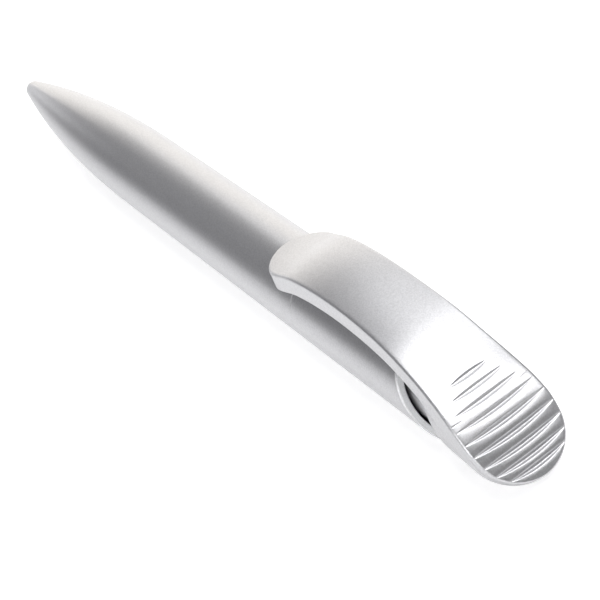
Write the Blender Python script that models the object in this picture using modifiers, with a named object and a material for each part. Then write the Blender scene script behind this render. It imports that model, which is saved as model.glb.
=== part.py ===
"""Push-button ballpoint pen with a wide clip moulded in one piece with its thumb button.

Lengths are metres. The pen lies along X: the writing end is at -X, the thumb button at +X and the
clip on the +Z side. While it is modelled, x is counted from the writing end and z from the pen's
own axis; one empty then sets the finished pen on the ground plane, centred on the origin.
"""
import math

import bmesh
import bpy
import numpy as np
from mathutils import Matrix, Vector

# Barrel
barrel_radius = 0.00555
barrel_wall = 0.0009
nose_length = 0.045
nose_end_radius = 0.00135
nose_power = 2.1
nose_wall = 0.00105
nose_edge = 0.0002
seat_wall = 0.0007
mouth_radius = 0.00095
mouth_length = 0.0022
mouth_taper = 0.0003
spigot_length = 0.005
spigot_wall = 0.0008
seam_gap = 0.0002
rim_tilt = math.radians(37.1)
rim_outer_round = 0.00038
rim_inner_round = 0.00012
mouth_depth = 0.008

# Fits
fit_clearance = 0.00015
run_clearance = 0.00015
touch_gap = 0.0003

# Refill, with its ball drawn back into the nose
retracted_depth = 0.0012
refill_length = 0.1069
tube_radius = 0.0015
tube_wall = 0.0004
ink_share = 0.8
ball_radius = 0.0005
ball_clearance = 0.00005
lip_clearance = 0.00003
tip_front_radius = 0.0006
tip_neck_radius = 0.0008
tip_cone_length = 0.0028
tip_shank_radius = 0.00115
tip_tail_radius = 0.0009
tip_channel_radius = 0.0003
shank_margin = 0.0006
tail_length = 0.004
holder_flange_x = 0.0262
holder_flange_radius = 0.0026
holder_flange_length = 0.0012
holder_spigot_length = 0.006
holder_channel_radius = 0.0005

# Return spring
spring_wire = 0.0004
spring_turns = 11
spring_points_per_turn = 10

# Push and cam mechanism
press_travel = 0.0048
press_margin = 0.0006
cam_sleeve_length = 0.010
cam_socket_depth = 0.0057
cam_web = 0.0012
cam_end_wall = 0.0006
cam_press_turn = math.radians(40.0)
groove_width = 0.0015
rest_clearance = 0.0001
peg_radius = 0.0005
peg_depth = 0.0004
guide_sleeve_length = 0.0139
guide_wall = 0.0008
throat_lip = 0.0003
throat_length = 0.0018
collar_length = 0.0012
key_depth = 0.0005
stub_length = 0.0030
stub_radius = 0.0015
pilot_radius = 0.00175
pilot_length = 0.0043
stem_seat_depth = 0.0011

# Heart-shaped track on the cam sleeve: share of the press travel, share of the press turn
track_shares = ((0.0, 0.0), (1.0, 1.0), (0.78, 1.45), (1.0, 1.95), (0.55, 1.85), (0.22, 1.1))

# Button head
head_front_radius = 0.0055
head_radius = 0.0058
head_length = 0.00695
head_front_round = 0.00025
dome_depth = 0.0061
tail_share = 0.836

# Clip blade
clip_length = 0.05125
clip_rise = 0.00441
clip_crown = 0.00035
clip_side_height = 0.0022
clip_side_flare = 0.0002
clip_core = 0.0012
clip_tip_length = 0.0056
tip_floor_share = 0.004
clip_edge_round = 0.00025
merge_share = 0.995
merge_end_height = 0.0004
# Edge of the clip's upper face: share of the clip's length, of the barrel's radius, of the rise
clip_line_shares = (
    (0.000, 1.00, 0.11), (0.0585, 1.00, 0.245), (0.120, 1.00, 0.43), (0.2074, 1.00, 0.75),
    (0.3149, 1.00, 0.945), (0.4242, 1.00, 1.00), (0.5391, 1.00, 0.925), (0.6464, 1.00, 0.725),
    (0.7444, 1.00, 0.33), (0.8318, 0.80, 0.09), (0.8964, 0.42, 0.00), (0.9411, -0.09, 0.00),
    (0.9762, -0.52, 0.00), (1.000, -0.83, 0.00),
)
# Half width of the clip's upper face: share of the clip's length, share of the head's radius
clip_width_shares = (
    (0.00, 0.785), (0.05, 0.803), (0.24, 0.795), (0.43, 0.784), (0.582, 0.799), (0.7245, 0.851),
    (0.81, 0.911), (0.8764, 0.978), (0.9239, 1.000), (1.00, 1.000),
)
# Across the underside of the blade: share of the half width, share of the way up into the hollow
hollow_shares = ((0.80, 0.0), (0.62, 1.0), (0.0, 1.0), (-0.62, 1.0), (-0.80, 0.0))

# Thumb grooves
groove_pitch = 0.00159
groove_depth = 0.00028
groove_cutter_radius = 0.00042
groove_bow = 0.0003
first_groove_share = 0.7971
groove_half_shares = (0.38, 0.60, 0.73, 0.88, 0.93, 0.96, 0.93, 0.84, 0.66)

# Meshing
barrel_sides = 48
inner_sides = 24
small_sides = 16
ogive_steps = 11
dome_steps = 8
line_steps = 44
crown_steps = 12
round_segments = 2
groove_points = 9
track_points_per_leg = 6
overrun = 0.001
cutter_size = 0.05
merge_distance = 0.0000005
plane_tolerance = 0.000002
sharp_angle = math.radians(30.0)

# Places along the pen, worked out from the refill outwards
bore_radius = barrel_radius - barrel_wall
guide_outer = bore_radius - fit_clearance
guide_inner = guide_outer - guide_wall
cam_outer = guide_inner - run_clearance
throat_radius = guide_inner - throat_lip - fit_clearance
stem_radius = throat_radius - run_clearance
neck_radius = bore_radius - touch_gap
spring_inner = tube_radius + run_clearance
spring_outer = spring_inner + spring_wire
chamber_radius = spring_outer + run_clearance
tail_bore = stub_radius + run_clearance
refill_end_x = retracted_depth + refill_length
cam_front_x = refill_end_x + touch_gap - cam_socket_depth
cam_rear_x = cam_front_x + cam_sleeve_length
stem_front_x = cam_rear_x + touch_gap
throat_x = stem_front_x + collar_length + touch_gap
guide_rear_x = throat_x + throat_length
guide_front_x = guide_rear_x - guide_sleeve_length
spigot_end_x = guide_front_x - touch_gap
seam_x = spigot_end_x - spigot_length
peg_x = cam_rear_x - cam_end_wall - groove_width / 2 - press_travel
rim_x = guide_rear_x + mouth_depth
head_front_x = rim_x + press_travel + press_margin
dome_x = head_front_x + head_length
clip_back_x = dome_x + tail_share * dome_depth
neck_front_x = guide_rear_x + press_travel + touch_gap
clip_front_x = clip_back_x - clip_length
shank_front_x = mouth_length + mouth_taper + press_travel + shank_margin


def clear_scene():
    for item in list(bpy.data.objects):
        bpy.data.objects.remove(item, do_unlink=True)


def new_collection(name):
    collection = bpy.data.collections.new(name)
    bpy.context.scene.collection.children.link(collection)
    return collection


clear_scene()
pen = new_collection("pen")
cutters = new_collection("cutters")


def finish(name, colour, metallic, roughness):
    """A Principled material named for its piece."""
    material = bpy.data.materials.new(name)
    material.use_nodes = True
    shader = material.node_tree.nodes["Principled BSDF"]
    shader.inputs["Base Color"].default_value = (*colour, 1.0)
    shader.inputs["Metallic"].default_value = metallic
    shader.inputs["Roughness"].default_value = roughness
    material.diffuse_color = (*colour, 1.0)
    return material


def add_object(name, data, collection):
    item = bpy.data.objects.new(name, data)
    collection.objects.link(item)
    return item


def add_mesh(name, bm, collection):
    mesh = bpy.data.meshes.new(name)
    bm.to_mesh(mesh)
    bm.free()
    return add_object(name, mesh, collection)


def settle(item):
    """Turn what an object's modifiers make of it into its own closed mesh, facing outwards."""
    graph = bpy.context.evaluated_depsgraph_get()
    graph.update()
    mesh = bpy.data.meshes.new_from_object(item.evaluated_get(graph))
    item.modifiers.clear()
    item.data = mesh
    bm = bmesh.new()
    bm.from_mesh(mesh)
    bmesh.ops.remove_doubles(bm, verts=bm.verts, dist=merge_distance)
    bmesh.ops.recalc_face_normals(bm, faces=bm.faces)
    bm.to_mesh(mesh)
    bm.free()
    return item


def turned(name, profile, sides, collection=None):
    """A solid turned about the pen's axis from (x, radius) points.

    The profile starts at the +X end of the outer side, runs to the -X end and comes back inside.
    """
    start = min(station for station, radius in profile)
    bm = bmesh.new()
    points = [bm.verts.new((radius, 0, station - start)) for station, radius in profile]
    for here, there in zip(points, points[1:]):
        bm.edges.new((here, there))
    if profile[0][1] > 0 or profile[-1][1] > 0:
        bm.edges.new((points[-1], points[0]))
    item = add_mesh(name, bm, collection or pen)
    screw = item.modifiers.new("turn", "SCREW")
    screw.axis = "Z"
    screw.angle = math.tau
    screw.steps = sides
    screw.render_steps = sides
    screw.use_merge_vertices = True
    screw.merge_threshold = merge_distance
    item.location = (start, 0, 0)
    item.rotation_euler = (0, math.pi / 2, 0)
    return settle(item)


def combine(item, tool, operation, crossing_itself=False):
    """Cut or join one closed mesh with another, which then stays as a hidden guide."""
    modifier = item.modifiers.new(operation.lower(), "BOOLEAN")
    modifier.operation = operation
    modifier.solver = "EXACT"
    modifier.use_self = crossing_itself
    modifier.object = tool
    modifier.material_mode = "TRANSFER"
    settle(item)
    for collection in list(tool.users_collection):
        collection.objects.unlink(tool)
    cutters.objects.link(tool)
    tool.hide_render = True
    tool.display_type = "WIRE"
    return item


def tube_mesh(name, points, radius, resolution, cyclic=False, collection=None):
    """A round tube along the points, as a closed mesh."""
    curve = bpy.data.curves.new(name, "CURVE")
    curve.dimensions = "3D"
    curve.bevel_depth = radius
    curve.bevel_resolution = resolution
    curve.use_fill_caps = True
    spline = curve.splines.new("POLY")
    spline.points.add(len(points) - 1)
    spline.use_cyclic_u = cyclic
    for target, point in zip(spline.points, points):
        target.co = (*point, 1.0)
    wire = add_object(name + "_path", curve, collection or cutters)
    graph = bpy.context.evaluated_depsgraph_get()
    graph.update()
    mesh = bpy.data.meshes.new_from_object(wire.evaluated_get(graph))
    bpy.data.objects.remove(wire, do_unlink=True)
    bm = bmesh.new()
    bm.from_mesh(mesh)
    bmesh.ops.remove_doubles(bm, verts=bm.verts, dist=merge_distance)
    bmesh.ops.recalc_face_normals(bm, faces=bm.faces)
    bm.to_mesh(mesh)
    bm.free()
    return add_object(name, mesh, collection or cutters)


def tilted_block(name, x_on_axis, side):
    """A block whose one face is the oblique plane that crosses the axis at x_on_axis.

    side is 1 for a block behind the plane and -1 for one in front of it.
    """
    bm = bmesh.new()
    bmesh.ops.create_cube(bm, size=cutter_size)
    item = add_mesh(name, bm, cutters)
    normal = Vector((math.cos(rim_tilt), 0, math.sin(rim_tilt)))
    item.rotation_euler = (0, -rim_tilt, 0)
    item.location = Vector((x_on_axis, 0, 0)) + side * cutter_size / 2 * normal
    return item


def keyed_rod(name, x_from, x_to, radius, flat):
    """A round rod with a flat on either side, at a distance of flat from its axis."""
    item = turned(name, ((x_to, 0), (x_to, radius), (x_from, radius), (x_from, 0)), inner_sides, cutters)
    bm = bmesh.new()
    bm.from_mesh(item.data)
    for side in (1, -1):
        everything = list(bm.verts) + list(bm.edges) + list(bm.faces)
        bmesh.ops.bisect_plane(bm, geom=everything, dist=merge_distance, plane_co=(0, side * flat, 0),
                               plane_no=(0, side, 0), clear_outer=True)
        rim = [edge for edge in bm.edges if edge.is_boundary]
        bmesh.ops.contextual_create(bm, geom=rim)
    bmesh.ops.recalc_face_normals(bm, faces=bm.faces)
    bm.to_mesh(item.data)
    bm.free()
    return item


def round_edges(item, chosen, width):
    """Round the edges that chosen(edge, matrix) picks."""
    bm = bmesh.new()
    bm.from_mesh(item.data)
    matrix = item.matrix_world.copy()
    edges = [edge for edge in bm.edges if chosen(edge, matrix)]
    bmesh.ops.bevel(bm, geom=edges, offset=width, offset_type="OFFSET", segments=round_segments,
                    profile=0.5, affect="EDGES", material=-1, clamp_overlap=True)
    bmesh.ops.remove_doubles(bm, verts=bm.verts, dist=merge_distance)
    bm.to_mesh(item.data)
    bm.free()
    return item


def on_oblique_plane(point, x_on_axis):
    offset = (point.x - x_on_axis) * math.cos(rim_tilt) + point.z * math.sin(rim_tilt)
    return abs(offset) < plane_tolerance


def radius_at(point):
    return math.hypot(point.y, point.z)


def nose_radius(x):
    """Outer radius of the front barrel: a blunt ogive that runs into the straight barrel."""
    share = max(0.0, 1 - x / nose_length)
    return barrel_radius - (barrel_radius - nose_end_radius) * share ** nose_power


def nose_station(radius):
    """Where the nose has this outer radius."""
    share = (barrel_radius - radius) / (barrel_radius - nose_end_radius)
    return nose_length * (1 - share ** (1 / nose_power))


seat_x = nose_station(chamber_radius + seat_wall)


def make_front_barrel():
    outer = [(seam_x, barrel_radius)]
    steps = np.linspace(1, 0, ogive_steps) ** 1.5
    outer += [(nose_length * share, nose_radius(nose_length * share)) for share in steps[:-1]]
    outer += [(nose_edge, nose_radius(nose_edge)), (0, nose_end_radius - nose_edge)]
    inner = [(0, mouth_radius), (mouth_length, mouth_radius)]
    tip_bore = tip_shank_radius + run_clearance
    inner += [(mouth_length + mouth_taper, tip_bore), (seat_x, tip_bore), (seat_x, chamber_radius)]
    hollow_steps = np.linspace(seat_x, nose_length, ogive_steps // 2 + 1)[1:]
    inner += [(x, nose_radius(x) - nose_wall) for x in hollow_steps]
    spigot_outer = bore_radius - fit_clearance
    spigot_inner = spigot_outer - spigot_wall
    shoulder_x = seam_x - spigot_length
    inner += [(shoulder_x, barrel_radius - nose_wall), (shoulder_x, spigot_inner)]
    inner += [(spigot_end_x, spigot_inner), (spigot_end_x, spigot_outer), (seam_x, spigot_outer)]
    item = turned("front_barrel", outer + inner, barrel_sides)
    item.data.materials.append(finish("silver_barrel_front", (0.72, 0.73, 0.74), 0.85, 0.32))
    return item


def make_rear_barrel():
    back_x = rim_x + barrel_radius
    front_x = seam_x + seam_gap
    profile = ((back_x, barrel_radius), (front_x, barrel_radius), (front_x, bore_radius),
               (back_x, bore_radius))
    item = turned("rear_barrel", profile, barrel_sides)
    combine(item, tilted_block("rim_cutter", rim_x, 1), "DIFFERENCE")
    middle = (barrel_radius + bore_radius) / 2

    def outer_rim(edge, matrix):
        ends = [matrix @ vert.co for vert in edge.verts]
        return all(on_oblique_plane(end, rim_x) and radius_at(end) > middle for end in ends)

    def inner_rim(edge, matrix):
        ends = [matrix @ vert.co for vert in edge.verts]
        return all(on_oblique_plane(end, rim_x) and radius_at(end) < middle for end in ends)

    round_edges(item, outer_rim, rim_outer_round)
    round_edges(item, inner_rim, rim_inner_round)
    item.data.materials.clear()
    item.data.materials.append(finish("silver_barrel_rear", (0.72, 0.73, 0.74), 0.85, 0.32))
    return item


def make_guide_sleeve():
    """Bush fixed in the rear barrel: it guides the stem and carries the cam's peg."""
    profile = ((guide_rear_x, guide_outer), (guide_front_x, guide_outer), (guide_front_x, guide_inner),
               (throat_x, guide_inner), (throat_x, 0), (guide_rear_x, 0))
    item = turned("guide_sleeve", profile, inner_sides)
    flat = throat_radius - key_depth
    hole = keyed_rod("throat_cutter", throat_x - overrun, guide_rear_x + overrun, throat_radius, flat)
    combine(item, hole, "DIFFERENCE")
    bm = bmesh.new()
    peg_length = guide_inner + guide_wall / 2 - (cam_outer - peg_depth)
    bmesh.ops.create_cone(bm, cap_ends=True, segments=small_sides, radius1=peg_radius,
                          radius2=peg_radius, depth=peg_length)
    peg = add_mesh("guide_peg", bm, cutters)
    peg.location = (peg_x, 0, -(cam_outer - peg_depth + peg_length / 2))
    combine(item, peg, "UNION")
    item.data.materials.clear()
    item.data.materials.append(finish("guide_acetal", (0.82, 0.82, 0.80), 0.0, 0.45))
    return item


def on_track(along_share, turn_share):
    """A point on the surface of the cam sleeve, by its shares of the press travel and turn."""
    turn = cam_press_turn * turn_share
    return (peg_x + press_travel * along_share, cam_outer * math.sin(turn), -cam_outer * math.cos(turn))


def track_points():
    """The closed heart-shaped track on the cam sleeve, round which the fixed peg travels."""
    points = []
    legs = zip(track_shares, track_shares[1:] + track_shares[:1])
    for (along_a, turn_a), (along_b, turn_b) in legs:
        for step in range(track_points_per_leg):
            share = step / track_points_per_leg
            points.append(on_track(along_a + (along_b - along_a) * share, turn_a + (turn_b - turn_a) * share))
    return points


def make_cam_sleeve():
    """Sleeve that turns on the stem's stub while the peg runs in its heart-shaped track."""
    socket_end_x = cam_front_x + cam_socket_depth
    bore_start_x = socket_end_x + cam_web
    socket_radius = tube_radius + run_clearance
    profile = ((cam_rear_x, cam_outer), (cam_front_x, cam_outer), (cam_front_x, socket_radius),
               (socket_end_x, socket_radius), (socket_end_x, 0), (bore_start_x, 0),
               (bore_start_x, tail_bore), (cam_rear_x, tail_bore))
    item = turned_with_web("cam_sleeve", profile, inner_sides)
    track = tube_mesh("track_cutter", track_points(), groove_width / 2, 2, cyclic=True)
    combine(item, track, "DIFFERENCE", crossing_itself=True)
    for along_share, turn_share in track_shares[:2]:
        bm = bmesh.new()
        bmesh.ops.create_uvsphere(bm, u_segments=small_sides, v_segments=small_sides // 2,
                                  radius=groove_width / 2 + rest_clearance)
        rest = add_mesh("track_end_cutter", bm, cutters)
        rest.location = on_track(along_share, turn_share)
        combine(item, rest, "DIFFERENCE")
    item.data.materials.clear()
    item.data.materials.append(finish("cam_acetal", (0.90, 0.90, 0.88), 0.0, 0.40))
    return item


def turned_with_web(name, profile, sides):
    """A turned solid whose web crosses the axis: the two hollows are cut from a plain rod."""
    stations = [station for station, radius in profile]
    outer = max(radius for station, radius in profile)
    rod = ((max(stations), 0), (max(stations), outer), (min(stations), outer), (min(stations), 0))
    item = turned(name, rod, sides)
    front_x, front_radius = profile[2]
    web_x = profile[3][0]
    hole = ((web_x, 0), (web_x, front_radius), (front_x - overrun, front_radius), (front_x - overrun, 0))
    combine(item, turned(name + "_socket", hole, small_sides, cutters), "DIFFERENCE")
    back_x = profile[0][0]
    bore_x, bore = profile[6]
    hole = ((back_x + overrun, 0), (back_x + overrun, bore), (bore_x, bore), (bore_x, 0))
    combine(item, turned(name + "_bore", hole, small_sides, cutters), "DIFFERENCE")
    return item


def make_button_stem():
    """Stem that the head pushes: keyed in the guide's throat, with a collar that keeps it in."""
    collar_end_x = stem_front_x + collar_length
    stem_end_x = head_front_x + stem_seat_depth - touch_gap
    pilot_end_x = stem_end_x + pilot_length
    rod = ((pilot_end_x, 0), (pilot_end_x, pilot_radius), (stem_end_x - overrun, pilot_radius),
           (stem_end_x - overrun, 0))
    item = keyed_rod("button_stem", collar_end_x - overrun / 2, stem_end_x, stem_radius,
                     throat_radius - key_depth - run_clearance)
    cutters.objects.unlink(item)
    pen.objects.link(item)
    combine(item, turned("stem_pilot", rod, small_sides, cutters), "UNION")
    collar = ((collar_end_x, 0), (collar_end_x, cam_outer), (stem_front_x, cam_outer),
              (stem_front_x, stub_radius), (stem_front_x - stub_length, stub_radius),
              (stem_front_x - stub_length, 0))
    combine(item, turned("stem_collar", collar, inner_sides, cutters), "UNION")
    item.data.materials.clear()
    item.data.materials.append(finish("stem_plastic", (0.80, 0.80, 0.80), 0.0, 0.45))
    return item


def smooth_line(knots, count):
    """A smooth curve through the knots, as count points evenly spread between them."""
    knots = np.array(knots)
    padded = np.vstack((2 * knots[0] - knots[1], knots, 2 * knots[-1] - knots[-2]))
    places = np.linspace(0, len(knots) - 1, count)
    points = []
    for place in places:
        index = min(int(place), len(knots) - 2)
        t = place - index
        a, b, c, d = padded[index:index + 4]
        points.append(0.5 * (2 * b + (c - a) * t + (2 * a - 5 * b + 4 * c - d) * t ** 2
                             + (3 * b - a - 3 * c + d) * t ** 3))
    return np.array(points)


def clip_line(count):
    """Edge line of the clip's upper face in the plane of symmetry: points and upward normals."""
    knots = [(clip_front_x + clip_length * along, barrel_radius * radius + clip_rise * rise)
             for along, radius, rise in clip_line_shares]
    points = smooth_line(knots, count)
    run = np.gradient(points, axis=0)
    run /= np.linalg.norm(run, axis=1)[:, None]
    normals = np.column_stack((-run[:, 1], run[:, 0]))
    return points, normals


def face_half_width(x):
    """Half width of the clip's upper face before its ends are rounded."""
    along = (x - clip_front_x) / clip_length
    places = [share for share, width in clip_width_shares]
    widths = [width for share, width in clip_width_shares]
    return head_radius * float(np.interp(along, places, widths))


def crown_offset(y, x):
    """Height of the crowned upper face over its edge line."""
    return clip_crown * (1 - (y / face_half_width(x)) ** 2)


def make_top_cutter():
    """Everything above the upper face of the clip and the thumb button."""
    points, normals = clip_line(line_steps)
    ahead = points[0] + (points[0] - points[1]) / np.linalg.norm(points[0] - points[1]) * clip_tip_length
    behind = points[-1] + (points[-1] - points[-2]) / np.linalg.norm(points[-1] - points[-2]) * dome_depth
    points = np.vstack((ahead, points, behind))
    normals = np.vstack((normals[0], normals, normals[-1]))
    reach = head_radius + overrun
    bm = bmesh.new()
    rows = []
    for y in np.linspace(-reach, reach, crown_steps + 1):
        row = []
        for (x, z), (normal_x, normal_z) in zip(points, normals):
            lift = crown_offset(y, x)
            row.append(bm.verts.new((x + normal_x * lift, y, z + normal_z * lift)))
        rows.append(row)
    for left, right in zip(rows, rows[1:]):
        for a, b, c, d in zip(left, left[1:], right[1:], right):
            bm.faces.new((a, b, c, d))
    top = bmesh.ops.extrude_face_region(bm, geom=list(bm.faces))
    for vert in [piece for piece in top["geom"] if isinstance(piece, bmesh.types.BMVert)]:
        vert.co.z = cutter_size / 2
    bmesh.ops.recalc_face_normals(bm, faces=bm.faces)
    return add_mesh("top_cutter", bm, cutters)


def head_half_width(x):
    """Half width of the round head seen from above."""
    if x > dome_x:
        return head_radius * math.sqrt(1 - ((x - dome_x) / dome_depth) ** 2)
    along = max(0.0, (x - head_front_x) / head_length)
    return head_front_radius + (head_radius - head_front_radius) * along


def rounded_half_width(x):
    """Half width of the blade seen from above, with its rounded tip and its end in the head."""
    width = face_half_width(x)
    if x > dome_x:
        width = min(width, head_half_width(x) * merge_share)
    ahead = (clip_front_x + clip_tip_length - x) / clip_tip_length
    if ahead > 0:
        width *= math.sqrt(max(tip_floor_share, 1 - ahead ** 2))
    return width


def make_blade():
    """The clip blade, lofted along its line; its sides run into the head and its top is trimmed later."""
    points, normals = clip_line(line_steps)
    bm = bmesh.new()
    rings = []
    for (x, z), (normal_x, normal_z) in zip(points, normals):
        if z < merge_end_height:
            break
        half = rounded_half_width(x)
        flare = clip_side_flare * half / face_half_width(x)
        top_half = max(half - flare * overrun / clip_side_height, half / 2)
        outline = [(-top_half, overrun), (top_half, overrun), (half + flare, -clip_side_height)]
        outline += [((half + flare) * across, -clip_side_height + (clip_side_height - clip_core) * up)
                    for across, up in hollow_shares]
        outline.append((-half - flare, -clip_side_height))
        merged = min(1.0, max(0.0, (x - head_front_x) / (dome_x - head_front_x)))
        ring = []
        for y, lift in outline:
            place = Vector((x + normal_x * lift, y, z + normal_z * lift))
            if abs(y) > half:
                side = Vector((x, math.copysign(head_half_width(x) * merge_share, y), 0))
                place = place.lerp(side, merged)
            ring.append(bm.verts.new(place))
        rings.append(ring)
    for ring, after in zip(rings, rings[1:]):
        for index in range(len(ring)):
            follow = (index + 1) % len(ring)
            bm.faces.new((ring[index], ring[follow], after[follow], after[index]))
    bm.faces.new(rings[0])
    bm.faces.new(rings[-1])
    bmesh.ops.recalc_face_normals(bm, faces=bm.faces)
    item = add_mesh("clip_button", bm, pen)
    start_x = clip_front_x - overrun
    saddle = barrel_radius + touch_gap
    rod = ((spigot_end_x, 0), (spigot_end_x, saddle), (start_x, saddle), (start_x, 0))
    combine(item, turned("saddle_cutter", rod, barrel_sides, cutters), "DIFFERENCE")
    return item


def make_head():
    """The thumb button: a round body with a domed end, cut off obliquely in front."""
    start_x = head_front_x - head_radius
    profile = [(dome_x + dome_depth * math.sin(angle), head_radius * math.cos(angle))
               for angle in np.linspace(math.pi / 2, 0, dome_steps + 1)]
    profile[0] = (dome_x + dome_depth, 0)
    profile += [((head_front_x + dome_x) / 2, (head_front_radius + head_radius) / 2 + seam_gap / 2),
                (head_front_x, head_front_radius), (start_x, head_front_radius), (start_x, 0)]
    item = turned("button_head", profile, barrel_sides, cutters)
    combine(item, tilted_block("head_front_cutter", head_front_x, -1), "DIFFERENCE")

    def front_rim(edge, matrix):
        ends = [matrix @ vert.co for vert in edge.verts]
        return all(on_oblique_plane(end, head_front_x) and radius_at(end) > stem_radius for end in ends)

    round_edges(item, front_rim, head_front_round)
    return item


def groove_line(place, half, points, normals):
    """Centre line of one groove cutter: a shallow arc that meets the face at both ends."""
    lengths = np.concatenate(([0], np.cumsum(np.linalg.norm(np.diff(points, axis=0), axis=1))))
    line = []
    for share in np.linspace(-1.25, 1.25, groove_points):
        y = share * half
        depth = groove_depth * (1 - share ** 2) * min(1.0, half / (head_radius * 0.6))
        along = place + groove_bow * (1 - share ** 2)
        x = float(np.interp(along, lengths, points[:, 0]))
        z = float(np.interp(along, lengths, points[:, 1]))
        normal_x = float(np.interp(along, lengths, normals[:, 0]))
        normal_z = float(np.interp(along, lengths, normals[:, 1]))
        lift = crown_offset(y, x) - depth + groove_cutter_radius
        line.append((x + normal_x * lift, y, z + normal_z * lift))
    return line


def cut_thumb_grooves(item):
    points, normals = clip_line(line_steps * 4)
    lengths = np.concatenate(([0], np.cumsum(np.linalg.norm(np.diff(points, axis=0), axis=1))))
    start_x = clip_front_x + first_groove_share * clip_length
    start = float(np.interp(start_x, points[:, 0], lengths))
    for index, share in enumerate(groove_half_shares):
        line = groove_line(start + index * groove_pitch, share * head_radius, points, normals)
        name = f"thumb_groove_{index + 1}"
        combine(item, tube_mesh(name, line, groove_cutter_radius, 2), "DIFFERENCE")


def make_clip_button():
    """Clip and thumb button: one moulding with a neck that slides in the rear barrel's mouth."""
    item = make_blade()
    combine(item, make_head(), "UNION")
    rod = ((dome_x, 0), (dome_x, neck_radius), (neck_front_x, neck_radius), (neck_front_x, 0))
    combine(item, turned("button_neck", rod, barrel_sides, cutters), "UNION")
    cutter = make_top_cutter()
    marker = finish("top_marker", (1, 1, 1), 0.0, 0.5)
    cutter.data.materials.append(marker)
    item.data.materials.clear()
    paint = finish("silver_clip", (0.74, 0.75, 0.76), 0.85, 0.30)
    item.data.materials.append(paint)
    combine(item, cutter, "DIFFERENCE")
    marked = item.data.materials.find(marker.name)

    def top_edge(edge, matrix):
        sides = [face.material_index == marked for face in edge.link_faces]
        return len(sides) == 2 and sides[0] != sides[1]

    round_edges(item, top_edge, clip_edge_round)
    bm = bmesh.new()
    bm.from_mesh(item.data)
    for face in bm.faces:
        face.material_index = 0
    bm.to_mesh(item.data)
    bm.free()
    seat_end_x = head_front_x + stem_seat_depth
    flat = throat_radius - key_depth
    socket = keyed_rod("socket_cutter", neck_front_x - overrun, seat_end_x, throat_radius, flat)
    combine(item, socket, "DIFFERENCE")
    pilot = pilot_radius + run_clearance
    pilot_end_x = seat_end_x + pilot_length
    rod = ((pilot_end_x, 0), (pilot_end_x, pilot), (seat_end_x - overrun, pilot),
           (seat_end_x - overrun, 0))
    combine(item, turned("pilot_cutter", rod, small_sides, cutters), "DIFFERENCE")
    cut_thumb_grooves(item)
    item.data.materials.clear()
    item.data.materials.append(paint)
    return item


def make_return_spring():
    """Compression spring between the seat in the nose and the refill's flange."""
    radius = (spring_inner + spring_outer) / 2
    start_x = seat_x + touch_gap + spring_wire / 2
    end_x = holder_flange_x - touch_gap - spring_wire / 2
    count = spring_turns * spring_points_per_turn
    points = []
    for index in range(count + 1):
        angle = math.tau * index / spring_points_per_turn
        x = start_x + (end_x - start_x) * index / count
        points.append((x, radius * math.cos(angle), radius * math.sin(angle)))
    item = tube_mesh("return_spring", points, spring_wire / 2, 1, collection=pen)
    item.data.materials.append(finish("spring_steel", (0.62, 0.62, 0.63), 1.0, 0.25))
    return item


def make_writing_ball():
    bm = bmesh.new()
    bmesh.ops.create_uvsphere(bm, u_segments=small_sides, v_segments=small_sides // 2,
                              radius=ball_radius)
    item = add_mesh("writing_ball", bm, pen)
    item.location = (retracted_depth + ball_radius, 0, 0)
    item.data.materials.append(finish("carbide_ball", (0.35, 0.35, 0.36), 1.0, 0.12))
    return item


def make_writing_tip():
    """Turned metal tip: ball socket, cone, neck, shank and the tail that is pressed in the holder."""
    ball_x = retracted_depth + ball_radius
    front_x = retracted_depth + ball_radius * 0.6
    lip_radius = math.sqrt(ball_radius ** 2 - (ball_x - front_x) ** 2) + lip_clearance
    socket = ball_radius + ball_clearance
    seat_end = ball_x + socket
    cone_end_x = front_x + tip_cone_length
    shank_end_x = seat_x + press_travel
    tail_end_x = shank_end_x + tail_length
    profile = ((tail_end_x, tip_tail_radius), (shank_end_x, tip_tail_radius),
               (shank_end_x, tip_shank_radius), (shank_front_x, tip_shank_radius),
               (shank_front_x, tip_neck_radius), (cone_end_x, tip_neck_radius),
               (front_x, tip_front_radius), (front_x, lip_radius), (ball_x, socket), (seat_end, socket),
               (seat_end, tip_channel_radius), (tail_end_x, tip_channel_radius))
    item = turned("writing_tip", profile, small_sides)
    item.data.materials.append(finish("nickel_silver_tip", (0.66, 0.60, 0.48), 1.0, 0.28))
    return item


def make_tip_holder():
    """Moulded holder: it grips the metal tip, stops the spring and plugs into the ink tube."""
    shank_end_x = seat_x + press_travel
    front_x = shank_end_x + touch_gap
    bore = tip_tail_radius + fit_clearance
    bore_end_x = shank_end_x + tail_length + touch_gap
    flange_end_x = holder_flange_x + holder_flange_length
    spigot_end = flange_end_x + holder_spigot_length
    spigot = tube_radius - tube_wall - fit_clearance
    profile = ((spigot_end, spigot), (flange_end_x, spigot), (flange_end_x, holder_flange_radius),
               (holder_flange_x, holder_flange_radius), (holder_flange_x, tube_radius),
               (front_x, tube_radius), (front_x, bore), (bore_end_x, bore),
               (bore_end_x, holder_channel_radius), (spigot_end, holder_channel_radius))
    item = turned("tip_holder", profile, small_sides)
    item.data.materials.append(finish("holder_plastic", (0.10, 0.16, 0.42), 0.0, 0.40))
    return item


def make_refill_tube():
    start_x = holder_flange_x + holder_flange_length + touch_gap
    inner = tube_radius - tube_wall
    profile = ((refill_end_x, tube_radius), (start_x, tube_radius), (start_x, inner),
               (refill_end_x, inner))
    item = turned("refill_tube", profile, small_sides)
    item.data.materials.append(finish("tube_polypropylene", (0.78, 0.80, 0.84), 0.0, 0.35))
    return item


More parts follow.
